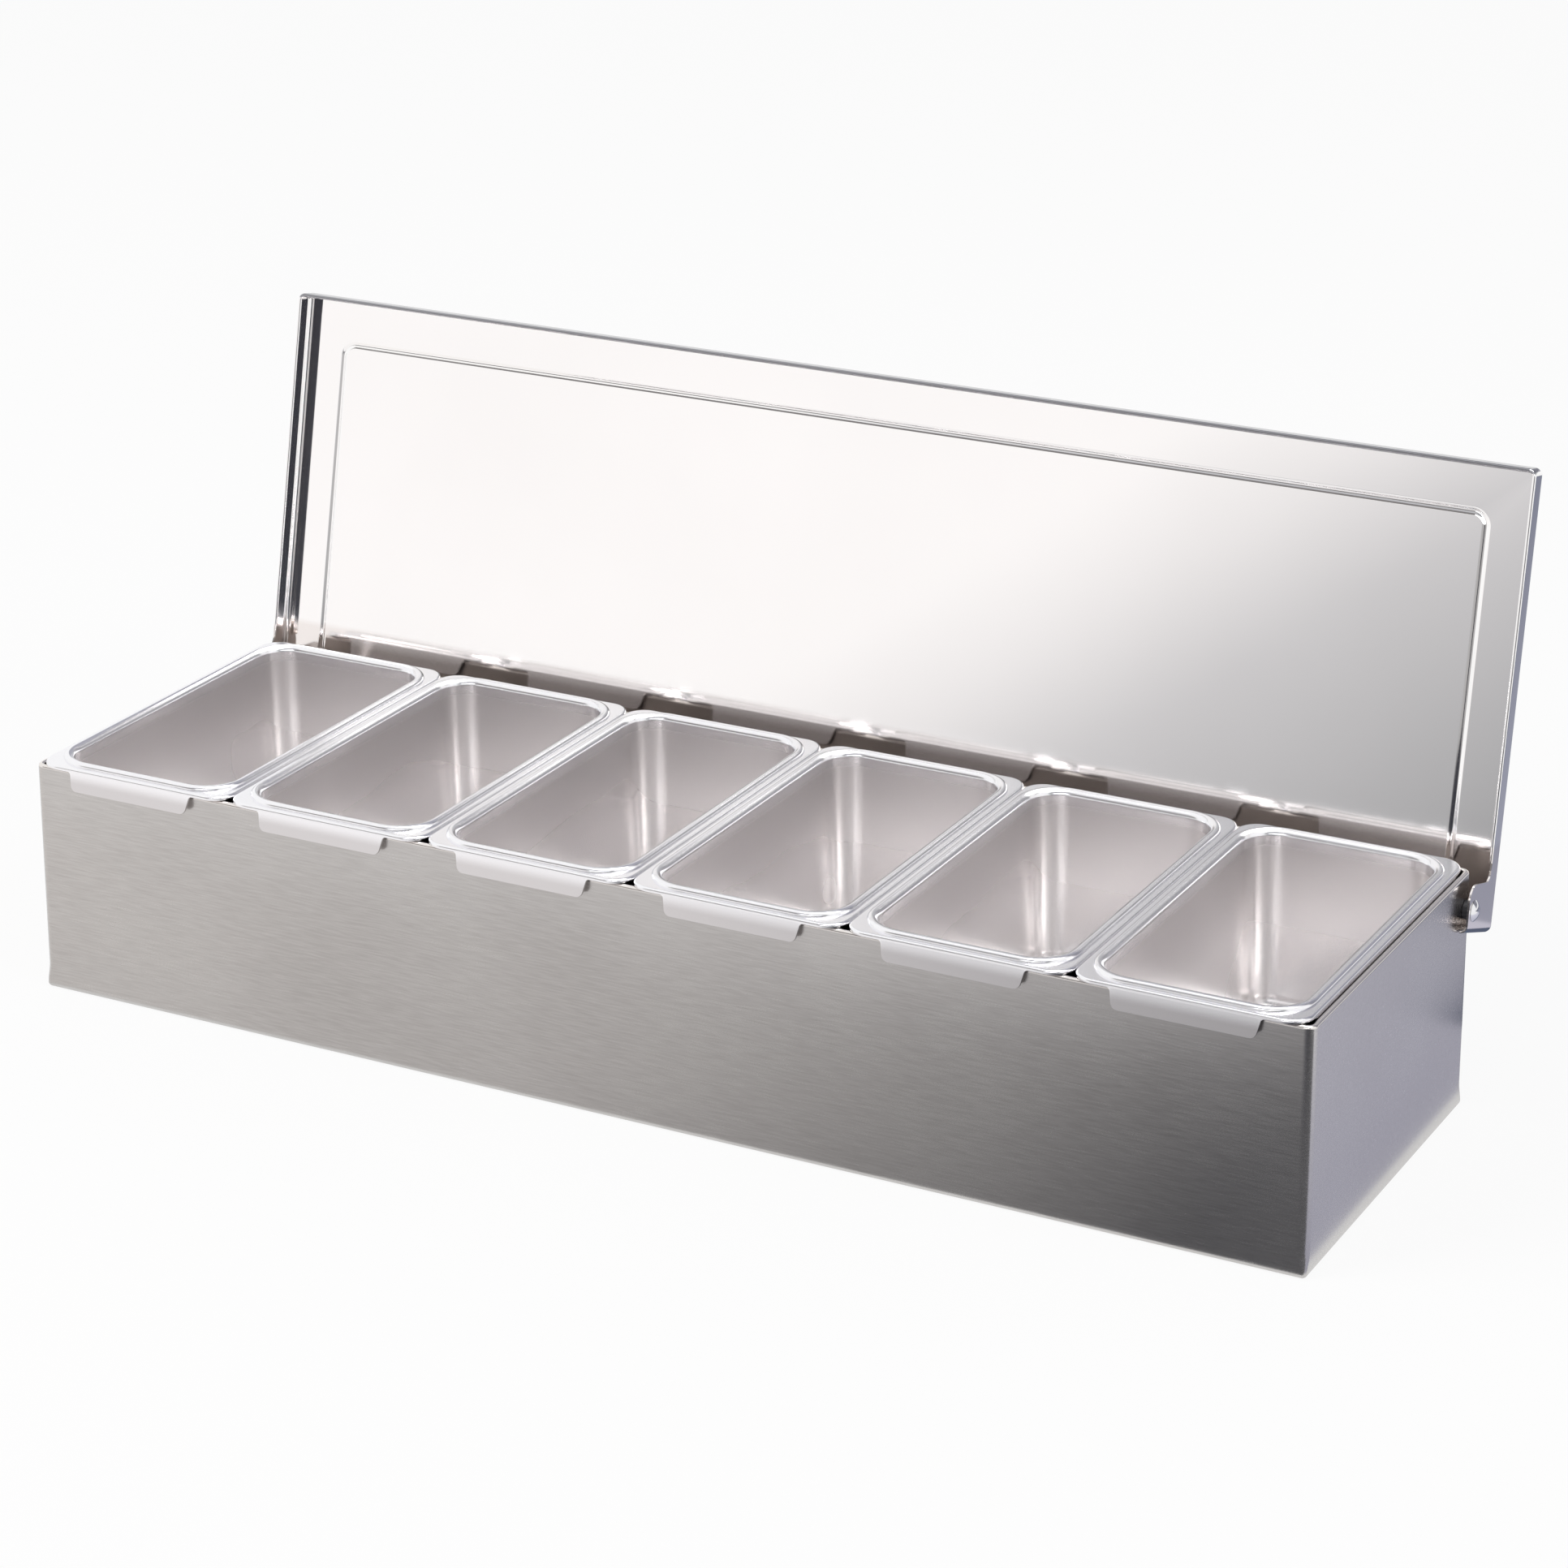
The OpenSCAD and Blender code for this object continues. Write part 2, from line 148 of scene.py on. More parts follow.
class SheetMesh:
    """A skin that grows outwards, ring by ring, from a flat rectangle with round corners."""

    def __init__(self, start: Ring, corner_steps: int, cuts_x: Sequence[float] = (),
                 cuts_y: Sequence[float] = ()) -> None:
        """Makes the flat middle.

        Args:
            start: The ring round the flat middle.
            corner_steps: Number of straight pieces in each round corner.
            cuts_x: Extra points on the front and rear sides, as parts of half_x.
            cuts_y: Extra points on the ends, as parts of half_y.
        """
        self.bm = bmesh.new()
        bmesh.ops.create_grid(self.bm, x_segments=1, y_segments=1, size=1.0)
        reach = Vector((start.half_x + start.radius, start.half_y + start.radius, 1.0))
        bmesh.ops.scale(self.bm, vec=reach, verts=self.bm.verts)
        bmesh.ops.bevel(self.bm, geom=self.bm.verts[:], offset=start.radius, offset_type="OFFSET",
                        segments=corner_steps, profile=0.5, affect="VERTICES", material=-1)
        for cut in cuts_x:
            self._cut(Vector((cut * start.half_x, 0, 0)), Vector((1, 0, 0)))
        for cut in cuts_y:
            self._cut(Vector((0, cut * start.half_y, 0)), Vector((0, 1, 0)))
        bmesh.ops.dissolve_faces(self.bm, faces=self.bm.faces[:])
        self._outward = self.bm.verts.layers.float_vector.new("outward")
        self._anchor = self.bm.verts.layers.float_vector.new("anchor")
        for vert in self.bm.verts:
            self._remember(vert, start)
        self._place(self.bm.verts, start)
        self.rim = [edge for edge in self.bm.edges if edge.is_boundary]

    def _cut(self, at: Vector, normal: Vector) -> None:
        """Splits the flat middle where a plane crosses it."""
        geometry = self.bm.verts[:] + self.bm.edges[:] + self.bm.faces[:]
        bmesh.ops.bisect_plane(self.bm, geom=geometry, dist=1e-7, plane_co=at, plane_no=normal)

    def _remember(self, vert: bmesh.types.BMVert, start: Ring) -> None:
        """Stores which corner or side of the rectangle a vertex is on, and which way is out.

        Args:
            vert: A vertex of the flat middle's edge.
            start: The ring round the flat middle.
        """
        on_end = abs(vert.co.x) > start.half_x - TINY
        on_side = abs(vert.co.y) > start.half_y - TINY
        sign_x = math.copysign(1.0, vert.co.x)
        sign_y = math.copysign(1.0, vert.co.y)
        part_x = sign_x if on_end else vert.co.x / start.half_x
        part_y = sign_y if on_side else vert.co.y / start.half_y
        out = Vector((vert.co.x - part_x * start.half_x, vert.co.y - part_y * start.half_y, 0))
        vert[self._outward] = out.normalized()
        vert[self._anchor] = (part_x, part_y, 0)

    def _place(self, verts: list[bmesh.types.BMVert], ring: Ring) -> None:
        """Moves vertices to their places on a ring."""
        for vert in verts:
            anchor = vert[self._anchor]
            out = vert[self._outward]
            vert.co = (anchor[0] * ring.half_x + out[0] * ring.radius,
                       anchor[1] * ring.half_y + out[1] * ring.radius, ring.height)

    def grow(self, edges: list[bmesh.types.BMEdge], ring: Ring) -> list[bmesh.types.BMEdge]:
        """Extrudes edges to a ring.

        Args:
            edges: The edges to carry on.
            ring: Where they go.

        Returns:
            The new edges.
        """
        made = bmesh.ops.extrude_edge_only(self.bm, edges=edges)["geom"]
        verts = [item for item in made if isinstance(item, bmesh.types.BMVert)]
        known = set(verts)
        self._place(verts, ring)
        return [item for item in made if isinstance(item, bmesh.types.BMEdge)
                and all(vert in known for vert in item.verts)]

    def grow_rim(self, ring: Ring) -> None:
        """Carries the whole rim on to a ring."""
        self.rim = self.grow(self.rim, ring)

    def grow_section(self, half_x: float, half_y: float, section: Section) -> None:
        """Carries the rim through a section of radius and height, with fixed corner centres."""
        for radius, height in section:
            self.grow_rim(Ring(half_x, half_y, radius, height))

    def extend(self, edges: list[bmesh.types.BMEdge]) -> list[bmesh.types.BMVert]:
        """Extrudes edges in place and returns the new vertices, for the caller to move."""
        made = bmesh.ops.extrude_edge_only(self.bm, edges=edges)["geom"]
        return [item for item in made if isinstance(item, bmesh.types.BMVert)]

    def close_rim(self) -> None:
        """Closes the rim with one flat face."""
        bmesh.ops.contextual_create(self.bm, geom=self.rim)

    def face_up(self) -> None:
        """Makes all faces agree, with the largest flat one looking up."""
        bmesh.ops.remove_doubles(self.bm, verts=self.bm.verts, dist=TINY)
        bmesh.ops.recalc_face_normals(self.bm, faces=self.bm.faces)
        largest = max(self.bm.faces, key=lambda face: face.calc_area())
        if largest.normal.z < 0:
            bmesh.ops.reverse_faces(self.bm, faces=self.bm.faces)


def finished_piece(bm: bmesh.types.BMesh, name: str, material: bpy.types.Material,
                   sharp_deg: float = 40.0) -> bpy.types.Object:
    """Turns a bmesh into a smooth-shaded object at the origin.

    Args:
        bm: The mesh, which is freed.
        name: Name of the piece.
        material: Its finish.
        sharp_deg: Angle past which an edge shows as sharp.

    Returns:
        The new object, linked to the scene.
    """
    mesh = bpy.data.meshes.new(name)
    bm.to_mesh(mesh)
    bm.free()
    mesh.shade_smooth()
    mesh.set_sharp_from_angle(angle=math.radians(sharp_deg))
    mesh.materials.append(material)
    piece = bpy.data.objects.new(name, mesh)
    bpy.context.scene.collection.objects.link(piece)
    return piece


def give_thickness(piece: bpy.types.Object, thickness: float, edge_round: float) -> None:
    """Gives a skin its sheet thickness behind its faces, and rounds the cut edges.

    Args:
        piece: The piece, still a skin.
        thickness: Thickness of its sheet.
        edge_round: Width of the rounding along the cut edges.
    """
    solidify = piece.modifiers.new("sheet", "SOLIDIFY")
    solidify.thickness = thickness
    solidify.offset = -1.0
    solidify.use_even_offset = True
    bevel = piece.modifiers.new("edges", "BEVEL")
    bevel.width = edge_round
    bevel.segments = 2
    bevel.limit_method = "ANGLE"
    bevel.angle_limit = math.radians(60)


def keep_flats_flat(piece: bpy.types.Object) -> None:
    """Lets the large flat faces set the shading next to the bends."""
    weighted = piece.modifiers.new("flats", "WEIGHTED_NORMAL")
    weighted.keep_sharp = True


# ------------------------------------------------------------------ finishes
class Grain(Enum):
    """Which way a finish's fine lines run."""

    NONE = (900.0, 900.0, 900.0)
    ALONG_X = (90.0, 1500.0, 1500.0)


@dataclass(frozen=True)
class PaintedLightZone:
    """A part of a piece with its own sheen and a painted tone, which is painted reflection and
    shade: all that lies past a height or a depth.

    The real steel is one tone throughout. A zone stands in for what it mirrored in the
    photographer's studio, and is only right for light like that of the photograph.
    """

    colour: Colour
    roughness: float
    axis: str
    start: float
    end: float
    both_sides: bool = False

    def mask(self, tree: bpy.types.NodeTree, place: bpy.types.NodeSocket) -> bpy.types.NodeSocket:
        """Adds nodes that are 1 inside the zone and 0 outside.

        Args:
            tree: The material's nodes.
            place: The socket that gives a point's Object coordinates.

        Returns:
            The output of the last node.
        """
        axes = tree.nodes.new("ShaderNodeSeparateXYZ")
        tree.links.new(place, axes.inputs["Vector"])
        value = axes.outputs[self.axis]
        if self.both_sides:
            size = tree.nodes.new("ShaderNodeMath")
            size.operation = "ABSOLUTE"
            tree.links.new(value, size.inputs[0])
            value = size.outputs[0]
        ramp = tree.nodes.new("ShaderNodeMapRange")
        ramp.interpolation_type = "SMOOTHSTEP"
        ramp.inputs["From Min"].default_value = self.start
        ramp.inputs["From Max"].default_value = self.end
        tree.links.new(value, ramp.inputs["Value"])
        return ramp.outputs["Result"]


@dataclass(frozen=True)
class Steel:
    """A finish with fine lines or a satin bloom, and bands of painted reflection and shade: steel,
    or a non-metal where it isn't metallic.
    """

    name: str
    colour: Colour
    dark: Colour
    roughness: float
    roughness_spread: float
    grain: Grain
    grain_height: float
    cloud_scale: float = 9.0
    cloud_share: float = 0.45
    metallic: float = 1.0
    painted_light_zones: tuple[PaintedLightZone, ...] = ()

    def material(self) -> bpy.types.Material:
        """Builds the finish from nodes.

        Returns:
            The new material.
        """
        made = bpy.data.materials.new(self.name)
        made.use_nodes = True
        nodes = made.node_tree.nodes
        links = made.node_tree.links
        shader = nodes["Principled BSDF"]
        shader.inputs["Metallic"].default_value = self.metallic
        place = nodes.new("ShaderNodeTexCoord")

        clouds = nodes.new("ShaderNodeTexNoise")
        clouds.inputs["Scale"].default_value = self.cloud_scale
        clouds.inputs["Detail"].default_value = 3.0
        links.new(place.outputs["Object"], clouds.inputs["Vector"])
        pattern = clouds.outputs["Fac"]
        if self.grain is not Grain.NONE:
            stretch = nodes.new("ShaderNodeMapping")
            stretch.inputs["Scale"].default_value = self.grain.value
            links.new(place.outputs["Object"], stretch.inputs["Vector"])
            lines = nodes.new("ShaderNodeTexNoise")
            lines.inputs["Scale"].default_value = 1.0
            lines.inputs["Detail"].default_value = 3.0
            links.new(stretch.outputs["Vector"], lines.inputs["Vector"])
            both = nodes.new("ShaderNodeMix")
            both.data_type = "FLOAT"
            both.inputs["Factor"].default_value = self.cloud_share
            links.new(lines.outputs["Fac"], both.inputs[2])
            links.new(clouds.outputs["Fac"], both.inputs[3])
            pattern = both.outputs[0]
            bump = nodes.new("ShaderNodeBump")
            bump.inputs["Strength"].default_value = 1.0
            bump.inputs["Distance"].default_value = self.grain_height
            links.new(lines.outputs["Fac"], bump.inputs["Height"])
            links.new(bump.outputs["Normal"], shader.inputs["Normal"])

        tone = nodes.new("ShaderNodeValToRGB")
        tone.color_ramp.elements[0].position = 0.34
        tone.color_ramp.elements[0].color = (*self.dark, 1.0)
        tone.color_ramp.elements[1].position = 0.66
        tone.color_ramp.elements[1].color = (*self.colour, 1.0)
        links.new(pattern, tone.inputs["Fac"])
        colour = tone.outputs["Color"]

        rough = nodes.new("ShaderNodeMapRange")
        rough.inputs["From Min"].default_value = 0.3
        rough.inputs["From Max"].default_value = 0.7
        rough.inputs["To Min"].default_value = self.roughness - self.roughness_spread
        rough.inputs["To Max"].default_value = self.roughness + self.roughness_spread
        links.new(pattern, rough.inputs["Value"])
        dullness = rough.outputs["Result"]
        # each zone paints reflection and shade into the base colour and sets its own roughness
        for zone in self.painted_light_zones:
            mask = zone.mask(made.node_tree, place.outputs["Object"])
            sheen = nodes.new("ShaderNodeMix")
            sheen.data_type = "FLOAT"
            sheen.inputs[3].default_value = zone.roughness
            links.new(mask, sheen.inputs["Factor"])
            links.new(dullness, sheen.inputs[2])
            dullness = sheen.outputs[0]
            painted_tone = nodes.new("ShaderNodeMix")
            painted_tone.data_type = "RGBA"
            painted_tone.inputs[7].default_value = (*zone.colour, 1.0)
            links.new(mask, painted_tone.inputs["Factor"])
            links.new(colour, painted_tone.inputs[6])
            colour = painted_tone.outputs[2]
        links.new(dullness, shader.inputs["Roughness"])
        links.new(colour, shader.inputs["Base Color"])
        return made


# ------------------------------------------------------------------ the box
@dataclass
class BoxShell:
    """The folded steel box, with its hemmed top and rounded bottom edge."""

    box: Box
    sheet: float = 0.8 * MM
    corner_r: float = 4.5 * MM
    bottom_r: float = 2.0 * MM
    hem_t: float = 2.7 * MM
    hem_h: float = 6.0 * MM
    tight_corner_r: float = 2.1 * MM
    tight_below: float = 9.0 * MM
    hem_gap: float = 0.05 * MM
    finish: Steel = Steel("box_brushed_steel_painted_light", (0.61, 0.595, 0.585), (0.51, 0.495, 0.485), 0.25,
                          0.04, Grain.ALONG_X, 0.00001,
                          # painted shade: the rear wall, all past y = 85.5 mm, is dark brown-grey
                          painted_light_zones=(PaintedLightZone((0.26, 0.235, 0.22), 0.3, "Y", 85.4 * MM, 85.6 * MM),
                                 # painted highlight: the hemmed top, above z = 103.8 mm, is lighter
                                 # and warmer
                                 PaintedLightZone((0.84, 0.80, 0.77), 0.13, "Z", 103.0 * MM, 103.8 * MM)))

    def _ring(self, inset: float, height: float, corner_r: float) -> Ring:
        """A ring that lies inset from the walls' outer faces, with upright corners of corner_r."""
        low, high = self.box
        return Ring((high.x - low.x) / 2 - corner_r, (high.y - low.y) / 2 - corner_r,
                    corner_r - inset, height)

    def build(self) -> bpy.types.Object:
        """Builds the box as one closed skin.

        Returns:
            The piece, riding on the fixed body.
        """
        top = self.box[1].z
        tight = self.tight_corner_r
        inner = self.bottom_r - self.sheet
        skin = SheetMesh(self._ring(self.bottom_r, 0.0, tight), 6)
        for x, z in arc((0, self.bottom_r), self.bottom_r, -80, 0, 8):
            skin.grow_rim(self._ring(self.bottom_r - x, z, tight))
        for step in range(1, 7):
            part = step / 6
            ease = part * part * (3 - 2 * part)
            corner = tight + (self.corner_r - tight) * ease
            skin.grow_rim(self._ring(0, self.bottom_r + part * self.tight_below, corner))
        for x, z in arc((0, top - self.hem_t / 2), self.hem_t / 2, 0, 180, 10):
            skin.grow_rim(self._ring(self.hem_t / 2 - x, z, self.corner_r))
        skin.grow_rim(self._ring(self.hem_t, top - self.hem_h, self.corner_r))
        skin.grow_rim(self._ring(self.sheet + self.hem_gap, top - self.hem_h, self.corner_r))
        skin.grow_rim(self._ring(self.sheet, self.bottom_r, self.corner_r))
        for x, z in arc((0, self.bottom_r), inner, -15, -90, 5):
            skin.grow_rim(self._ring(self.bottom_r - x, z, self.corner_r))
        skin.close_rim()
        bmesh.ops.recalc_face_normals(skin.bm, faces=skin.bm.faces)
        piece = finished_piece(skin.bm, "box_shell", self.finish.material())
        keep_flats_flat(piece)
        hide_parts("box")
        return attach(piece, "base")


# ------------------------------------------------------------------ the pans
@dataclass
class Pan:
    """One deep-drawn pan with a beaded rim, a turned-down lip and a tab front and rear."""

    number: int
    box: Box
    material: bpy.types.Material
    sheet: float = 0.9 * MM
    rim_w: float = 6.5 * MM
    rim_r: float = 10.0 * MM
    opening_r: float = 15.0 * MM
    floor_r: float = 8.0 * MM
    draft_deg: float = 3.0
    bead_r: float = 1.75 * MM
    bead_h: float = 1.7 * MM
    inner_r: float = 3.0 * MM
    side_lip: float = 1.3 * MM
    side_lip_part: float = 0.96
    bead_foot: float = 0.1 * MM
    lip_bend_r: float = 1.2 * MM
    lip_drop: float = 1.7 * MM
    depth: float = 80.0 * MM
    tab_w: float = 62.0 * MM
    tab_foot_w: float = 58.7 * MM
    tab_l: float = 8.0 * MM
    tab_flare_deg: float = 14.0
    rear_flare_deg: float = 5.0
    tab_corner_r: float = 3.0 * MM
    tab_root_r: float = 1.5 * MM
    tab_root_run: float = 4.0 * MM

    def _tab_outline(self) -> Section:
        """Draws half of a tab's free edge, from its root to its middle.

        Returns:
            The edge's points, as x and drop.
        """
        half = self.tab_w / 2
        foot = self.tab_foot_w / 2
        return rounded_path([(half + self.tab_root_run, 0, 0), (half, 0, self.tab_root_r),
                             (foot, -self.tab_l, self.tab_corner_r), (0, -self.tab_l, 0)])

    def _skin(self) -> SheetMesh:
        """Grows the pan's inner and upper face, from its floor to its lip, about the origin.

        Returns:
            The open skin, which has no thickness yet.
        """
        low, high = self.box
        half_w = (high.x - low.x) / 2
        half_d = (high.y - low.y) / 2 - self.tab_l * math.sin(math.radians(self.tab_flare_deg))
        top = high.z
        flat = top - self.bead_h
        tub_x = half_w - self.rim_w - self.opening_r
        tub_y = half_d - self.rim_w - self.opening_r
        rim_x = half_w - self.rim_r
        rim_y = half_d - self.rim_r
        floor_z = top - self.depth + self.sheet
        slope = math.radians(self.draft_deg)
        bead = (self.opening_r + self.bead_r, top - self.bead_r)
        inner = (bead[0], top - self.inner_r)
        fall = inner[1] - floor_z - self.floor_r
        floor_c = (inner[0] - self.inner_r / math.cos(slope) - fall * math.tan(slope)
                   - self.floor_r / math.cos(slope))
        outline = self._tab_outline()
        cuts = [sign * x / rim_x for x, _ in outline[:-1] for sign in (-1, 1)] + [0.0]
        skin = SheetMesh(Ring(tub_x, tub_y, floor_c, floor_z), 10, cuts_x=cuts,
                         cuts_y=[-self.side_lip_part, self.side_lip_part])
        floor_bend = arc((floor_c, floor_z + self.floor_r), self.floor_r, -90, -self.draft_deg, 10)
        skin.grow_section(tub_x, tub_y, floor_bend[1:])
        skin.grow_section(tub_x, tub_y, arc(inner, self.inner_r, 180 - self.draft_deg, 90, 10))
        skin.grow_section(tub_x, tub_y, arc(bead, self.bead_r, 90, 0, 7)[1:])
        skin.grow_section(tub_x, tub_y, [(bead[0] + self.bead_r + self.bead_foot, flat)])
        lip = arc((self.rim_r - self.lip_bend_r, flat - self.lip_bend_r), self.lip_bend_r, 90, 0, 6)
        lip.append((self.rim_r, flat - self.lip_drop))
        skin.grow_section(rim_x, rim_y, lip)
        self._add_tabs(skin, outline, rim_x, rim_y)
        skin.face_up()
        return skin

    def _add_tabs(self, skin: SheetMesh, outline: Section, rim_x: float, rim_y: float) -> None:
        """Carries the lip down, deeper along the sides and into a tab at the front and the rear.

        The rear tab leans out less than the solid's, to clear the flange of the closed lid.

        Args:
            skin: The pan, grown as far as its lip.
            outline: Half of a tab's free edge.
            rim_x: Half the distance between the lip's corner centres, from side to side.
            rim_y: The same from front to rear.
        """
        outer_x = rim_x + self.rim_r - SLACK
        outer_y = rim_y + self.rim_r - SLACK
        sides = [edge for edge in skin.rim
                 if all(abs(vert.co.x) > outer_x for vert in edge.verts)]
        for vert in skin.extend(sides):
            if abs(vert.co.y) < rim_y - SLACK:
                vert.co.z -= self.side_lip
        reach = outline[0][0] + SLACK
        edges = [edge for edge in skin.rim
                 if all(abs(vert.co.y) > outer_y and abs(vert.co.x) < reach
                        for vert in edge.verts)]
        for vert in skin.extend(edges):
            drop = min(outline, key=lambda point: abs(point[0] - abs(vert.co.x)))[1]
            flare = math.radians(self.tab_flare_deg if vert.co.y < 0 else self.rear_flare_deg)
            vert.co.z += drop * math.cos(flare)
            vert.co.y += math.copysign(drop * math.sin(flare), vert.co.y)

    def build(self) -> bpy.types.Object:
        """Builds the pan in its place.

        Returns:
            The piece, riding on its own body.
        """
        low, high = self.box
        skin = self._skin()
        middle = Vector(((low.x + high.x) / 2, (low.y + high.y) / 2, 0))
        bmesh.ops.translate(skin.bm, vec=middle, verts=skin.bm.verts)
        name = f"pan_{self.number}"
        piece = finished_piece(skin.bm, f"{name}_drawn_sheet", self.material, SHEET_SHARP_DEG)
        give_thickness(piece, self.sheet, EDGE_ROUND)
        keep_flats_flat(piece)
        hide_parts(name)
        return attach(piece, name)


# ------------------------------------------------------------------ the lid
@dataclass
class TrayLid:
    """The one-piece tray lid, built closed and level about the hinge line and then swung open."""

    hinge: Vector
    half_l: float = 299.0 * MM
    open_deg: float = 101.4
    sheet: float = 0.8 * MM
    front: float = 179.6 * MM
    rear: float = 13.4 * MM
    top: float = 27.5 * MM
    flange_h: float = 10.5 * MM
    stop_h: float = 16.8 * MM
    bend_r: float = 2.8 * MM
    corner_r: float = 3.2 * MM
    hem_h: float = 4.2 * MM
    frame_inset: float = 21.4 * MM
    frame_w: float = 4.0 * MM
    frame_rise: float = 0.5 * MM
    frame_r: float = 6.0 * MM
    slant_deg: float = 8.6
    ear_foot_z: float = -6.2 * MM
    ear_root: float = 14.0 * MM
    ear_toe: tuple[float, float, float] = (-11.6 * MM, -1.0 * MM, 6.5 * MM)
    ear_neck: tuple[float, float] = (-9.6 * MM, 3.2 * MM)
    hem_end: float = 17.0 * MM
    hem_gap: float = 0.03 * MM
    finish: Steel = Steel("lid_bright_steel_painted_light", (0.985, 0.975, 0.97), (0.96, 0.95, 0.945), 0.06,
                          0.015, Grain.NONE, 0.0,
                          # painted reflection: the open lid's topmost edge, above z = 260.6 mm, is
                          # dark grey
                          painted_light_zones=(PaintedLightZone((0.34, 0.34, 0.36), 0.12, "Z", 259.8 * MM, 260.6 * MM),
                                 # painted reflection: the open lid's lowest band, below z = 107 mm,
                                 # is darker and warmer
                                 PaintedLightZone((0.88, 0.84, 0.82), 0.09, "Z", 111.0 * MM, 107.0 * MM)))

    def _frame_line(self, skin: SheetMesh, half_x: float, half_y: float) -> None:
        """Grows the pressed line that frames the panel."""
        steps = 8
        for step in range(1, steps + 1):
            part = step / steps
            rise = self.frame_rise * (1 - math.cos(2 * math.pi * part)) / 2
            radius = self.frame_r + self.frame_w * (part - 0.5)
            skin.grow_rim(Ring(half_x, half_y, radius, self.top + rise))

    def _hem(self, skin: SheetMesh, cx: float, cy: float, edges: list[bmesh.types.BMEdge]) -> None:
        """Folds the free edge up inside the flange.

        Args:
            skin: The lid, grown as far as the flange's lower edge.
            cx: Half the distance between the corner centres, from end to end.
            cy: The same from front to rear.
            edges: The part of the rim that is hemmed.
        """
        low = self.top - self.flange_h
        fold_r = self.sheet + self.hem_gap
        for vert in {vert for edge in edges for vert in edge.verts}:
            vert.co.z = low + fold_r
        section = arc((self.corner_r - fold_r, low + fold_r), fold_r, 0, -180, 8)[1:]
        section.append((self.corner_r - 2 * fold_r, low + self.hem_h))
        for radius, height in section:
            edges = skin.grow(edges, Ring(cx, cy, radius, height))

    def _ears(self, skin: SheetMesh, middle: float) -> None:
        """Adds the flat of both ears to the flanges at the ends.

        Args:
            skin: The lid, grown as far as the rear flange's lower edge.
            middle: Where the lid's middle lies from the rivet line, along y.
        """
        bm = skin.bm
        flange_z = self.top - self.flange_h
        for side in (-1, 1):
            face_x = side * self.half_l
            flat = [vert for vert in bm.verts if abs(vert.co.x - face_x) < TINY]
            column_y = max(vert.co.y for vert in flat)
            root = min((vert for vert in flat if abs(vert.co.z - flange_z) < TINY),
                       key=lambda vert: abs(vert.co.y + middle + self.ear_root))
            column = [vert for vert in flat if abs(vert.co.y - column_y) < TINY
                      and vert.co.z < flange_z + TINY]
            column.sort(key=lambda vert: vert.co.z)
            foot = column[0].co
            outline = rounded_path([
                (foot.y + middle - self._lean(foot.z), foot.z, 0),
                (self.ear_toe[0], foot.z + self.ear_toe[1], self.ear_toe[2]),
                (self.ear_neck[0], flange_z, self.ear_neck[1]),
                (-self.ear_root, flange_z, 0)], 8)[1:-1]
            loop = [root] + column[::-1]
            loop += [bm.verts.new((face_x, y - middle, z)) for y, z in outline]
            bm.faces.new(loop)

    def _lean(self, height: float) -> float:
        """How far in the rear flange leans at a height."""
        return math.tan(math.radians(self.slant_deg)) * (self.top - self.bend_r - height)

    def _slant(self, bm: bmesh.types.BMesh, side_y: float) -> None:
        """Leans the ears' rear edges in towards the box, and the rear flange with them.

        The solid's flange is upright. Here its lower edge comes about 2 mm further in.

        Args:
            bm: The lid's mesh.
            side_y: What lies past this y leans.
        """
        for vert in bm.verts:
            if vert.co.y > side_y - TINY and vert.co.z < self.top - self.bend_r:
                vert.co.y -= self._lean(vert.co.z)

    def build(self) -> bpy.types.Object:
        """Builds the lid in its open place.

        Returns:
            The piece, riding on the lid's body.
        """
        middle = (self.rear - self.front) / 2
        half_d = (self.rear + self.front) / 2
        cx = self.half_l - self.corner_r
        cy = half_d - self.corner_r
        frame_x = self.half_l - self.frame_inset - self.frame_r
        frame_y = half_d - self.frame_inset - self.frame_r
        flange_z = self.top - self.flange_h
        cuts = [(-self.ear_root - middle) / cy, (-self.hem_end - middle) / cy]
        skin = SheetMesh(Ring(frame_x, frame_y, self.frame_r - self.frame_w / 2, self.top), 8,
                         cuts_y=cuts)
        self._frame_line(skin, frame_x, frame_y)
        bend = arc((self.corner_r - self.bend_r, self.top - self.bend_r), self.bend_r, 90, 0, 8)
        skin.grow_section(cx, cy, bend)
        skin.grow_rim(Ring(cx, cy, self.corner_r, flange_z))
        hemmed, rear = [], []
        for edge in skin.rim:
            ys = [vert.co.y + middle for vert in edge.verts]
            if max(ys) < -self.hem_end + TINY:
                hemmed.append(edge)
            elif min(ys) > self.rear - self.corner_r - TINY:
                rear.append(edge)
        self._hem(skin, cx, cy, hemmed)
        low = self.top - self.stop_h
        ends = skin.grow(rear, Ring(cx, cy, self.corner_r, low))
        round_ends = [edge for edge in ends
                      if max(abs(vert.co.x) for vert in edge.verts) > cx + TINY]
        skin.grow(round_ends, Ring(cx, cy, self.corner_r, self.ear_foot_z))
        self._ears(skin, middle)
        self._slant(skin.bm, cy)
        skin.face_up()
        bmesh.ops.translate(skin.bm, vec=(0, middle, 0), verts=skin.bm.verts)
        swing = Matrix.Rotation(-math.radians(self.open_deg), 3, "X")
        bmesh.ops.rotate(skin.bm, cent=(0, 0, 0), matrix=swing, verts=skin.bm.verts)
        bmesh.ops.translate(skin.bm, vec=self.hinge, verts=skin.bm.verts)
        piece = finished_piece(skin.bm, "lid_tray", self.finish.material(), SHEET_SHARP_DEG)
        give_thickness(piece, self.sheet, EDGE_ROUND)
        keep_flats_flat(piece)
        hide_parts("lid")
        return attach(piece, "lid")


